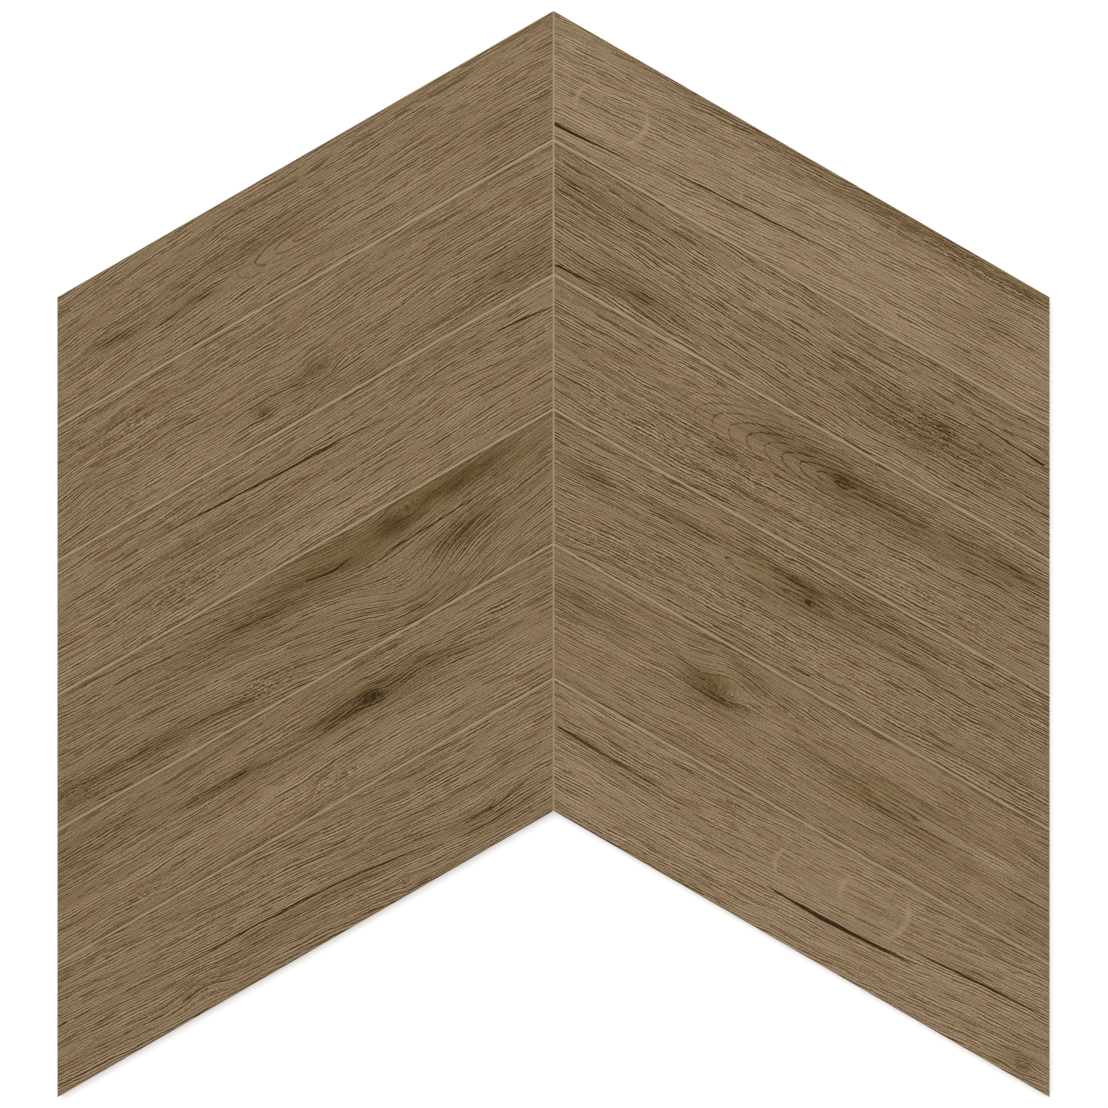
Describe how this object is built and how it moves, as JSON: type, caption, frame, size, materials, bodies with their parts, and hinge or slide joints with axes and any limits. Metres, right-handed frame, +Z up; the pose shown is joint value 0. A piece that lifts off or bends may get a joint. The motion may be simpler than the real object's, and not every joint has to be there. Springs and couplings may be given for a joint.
{
  "type": "chevron porcelain tile",
  "caption": "Chevron-shaped porcelain tile with a wood-look plank face, false joints and a keyed back, for tiling floors and walls.",
  "frame": {"origin": "on the bed plane, in the middle of the tile's overall length and width", "axes": "+Z up out of the wood-look face, +Y along the middle joint towards the chevron's point, +X across the tile"},
  "size_m": [0.6, 0.657, 0.009],
  "materials": {
    "wood_look_glaze": "matt wood-look glaze, printed oak planks with pale taupe false joints, on a fired taupe-beige porcelain body"
  },
  "bodies": {
    "root": {"chevron_tile": "wood_look_glaze"}
  },
  "joints": []
}
